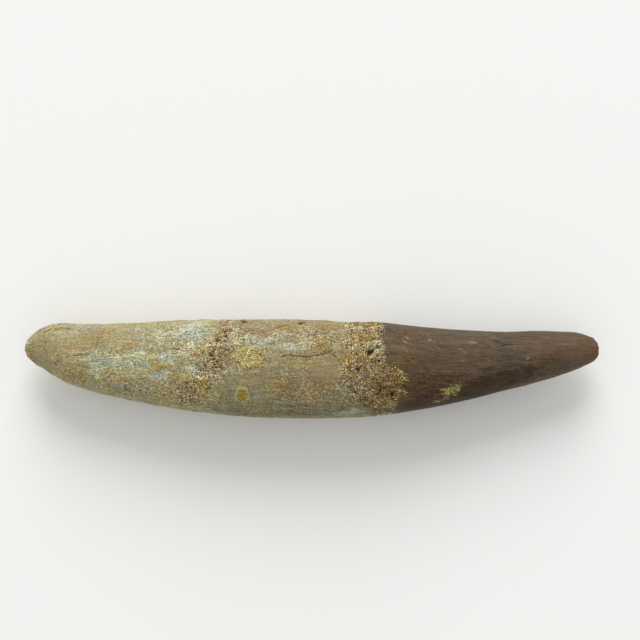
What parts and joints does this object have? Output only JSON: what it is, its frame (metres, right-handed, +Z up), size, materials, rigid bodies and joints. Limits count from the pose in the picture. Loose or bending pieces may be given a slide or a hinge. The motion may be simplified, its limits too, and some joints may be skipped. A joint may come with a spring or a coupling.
{
  "type": "dinosaur tooth fossil",
  "caption": "Fossil dinosaur tooth with its root, a long gently curved spindle lying on its side: brown crown, pale weathered root and sandy crust bands.",
  "frame": {"origin": "middle of the bounding box's base, on the surface that the tooth lies on", "axes": "+X from the root end to the crown's worn tip, +Y towards the hollow side of its bend, +Z up from the surface that it lies on"},
  "size_m": [0.109, 0.0188, 0.0156],
  "materials": {
    "fossil": "matt weathered dentine on the root, satin brown enamel on the crown, rough sandy crust in two bands"
  },
  "bodies": {
    "root": {"tooth": "fossil"}
  },
  "joints": []
}
